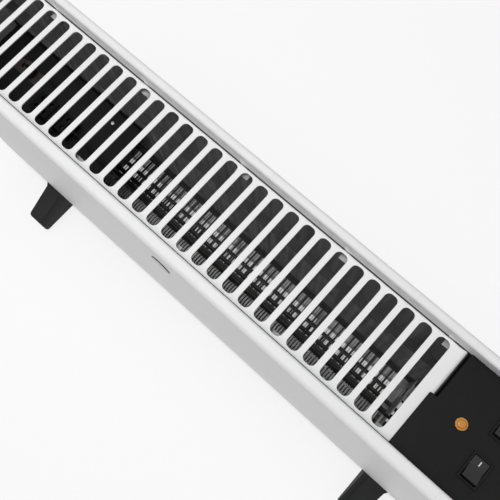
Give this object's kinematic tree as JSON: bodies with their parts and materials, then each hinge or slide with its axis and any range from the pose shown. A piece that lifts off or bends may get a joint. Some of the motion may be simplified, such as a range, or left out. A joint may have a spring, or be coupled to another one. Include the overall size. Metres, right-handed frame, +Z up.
{
  "type": "electric convector heater",
  "caption": "Upright white sheet-metal convector heater with a slotted outlet set in below its rims, a black control panel at the right end and black splayed feet.",
  "frame": {"origin": "on the floor below the middle of the case", "axes": "+X to the right along the heater seen from its front, +Y to the rear, +Z up"},
  "size_m": [0.72, 0.1934, 0.4017],
  "materials": {
    "white_coat": "satin powder coat on steel sheet",
    "white_plastic": "satin moulded plastic",
    "black_plastic": "fine-grained moulded plastic",
    "knob_plastic": "satin black with a pale pointer",
    "rocker_plastic": "polished moulded plastic",
    "foot_plastic": "matt moulded plastic",
    "pad_rubber": "matt rubber",
    "dark_steel": "black baked coating",
    "galvanised_sheet": "dull galvanised sheet",
    "element_steel": "bare heat-resisting steel",
    "plated_steel": "zinc plated",
    "ceramic": "unglazed steatite",
    "phenolic": "moulded phenolic",
    "amber_lens": "clear amber lens",
    "wire_sleeve": "braided glass sleeve over wire"
  },
  "bodies": {
    "case": {"front_panel": "white_coat", "rear_panel": "white_coat", "left_end_cap": "white_plastic", "right_end_cap": "white_plastic", "outlet_grille": "white_coat", "base_grille": "dark_steel", "control_housing": "black_plastic", "thermostat_body": "phenolic", "spindle_nut": "plated_steel", "low_power_switch": "black_plastic", "high_power_switch": "black_plastic", "pilot_lens": "amber_lens", "rear_heat_shield": "galvanised_sheet", "front_heat_shield": "galvanised_sheet", "element_frame": "dark_steel", "finned_element": "element_steel", "hairpin_element": "element_steel", "left_element_bracket": "galvanised_sheet", "right_element_bracket": "galvanised_sheet", "element_bushes": "ceramic", "control_partition": "galvanised_sheet", "wiring_tray": "dark_steel", "terminal_block": "black_plastic", "thermal_cutout": "phenolic", "wiring_harness": "wire_sleeve", "cable_gland": "black_plastic", "left_foot": "foot_plastic", "right_foot": "foot_plastic", "foot_pads": "pad_rubber", "foot_screws": "plated_steel", "case_screws": "plated_steel"},
    "knob": {"thermostat_knob": "knob_plastic", "thermostat_spindle": "plated_steel"},
    "low_rocker": {"low_power_rocker": "rocker_plastic"},
    "high_rocker": {"high_power_rocker": "rocker_plastic"}
  },
  "joints": [
    {"name": "knob_turn", "type": "hinge", "parent": "case", "child": "knob", "pos_m": [0.3, 0.00155, 0.388], "axis": [0, 0, -1], "range_deg": [0, 270]},
    {"name": "low_rocker_tip", "type": "hinge", "parent": "case", "child": "low_rocker", "pos_m": [0.256, -0.01545, 0.386], "axis": [1, 0, 0], "range_deg": [0, 20]},
    {"name": "high_rocker_tip", "type": "hinge", "parent": "case", "child": "high_rocker", "pos_m": [0.256, 0.01855, 0.386], "axis": [1, 0, 0], "range_deg": [0, 20]}
  ]
}
